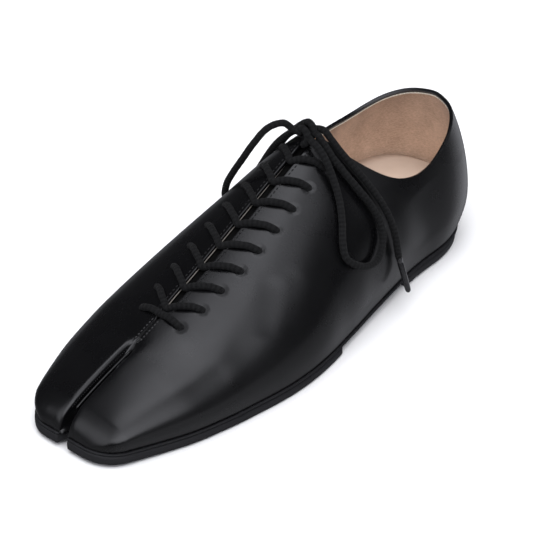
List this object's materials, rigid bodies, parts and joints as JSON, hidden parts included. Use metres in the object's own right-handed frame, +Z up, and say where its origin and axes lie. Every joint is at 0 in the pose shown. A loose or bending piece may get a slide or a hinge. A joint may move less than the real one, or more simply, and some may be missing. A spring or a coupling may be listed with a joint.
{
  "type": "lace-up flat shoe",
  "caption": "Flat lace-up shoe with a split square toe, a long laced slit on its centre line, a low collar, a thin rubber sole, a low heel and a bow at the throat.",
  "frame": {"origin": "floor under the middle of the shoe's box, without the bow", "axes": "+Z up, -Y towards the toe, +X towards the outside of the left foot"},
  "size_m": [0.0914, 0.252, 0.0896],
  "materials": {
    "upper_leather": "smooth satin black",
    "insole_leather": "matt beige",
    "sole_rubber": "matt black",
    "lace_cord": "round braid, matt black",
    "aglet_plastic": "glossy black"
  },
  "bodies": {
    "root": {"upper": "upper_leather", "sole": "sole_rubber", "forefoot_sole": "sole_rubber", "heel": "sole_rubber", "insole": "insole_leather", "lace_bar_1": "lace_cord", "lace_bar_2": "lace_cord", "lace_bar_3": "lace_cord", "lace_bar_4": "lace_cord", "lace_bar_5": "lace_cord", "lace_bar_6": "lace_cord", "lace_bar_7": "lace_cord", "lace_bar_8": "lace_cord", "lace_bar_9": "lace_cord", "lace_knot": "lace_cord", "lace_loop_lateral": "lace_cord", "lace_loop_medial": "lace_cord", "lace_end_lateral": "lace_cord", "lace_end_medial": "lace_cord", "aglet_lateral": "aglet_plastic", "aglet_medial": "aglet_plastic"}
  },
  "joints": []
}
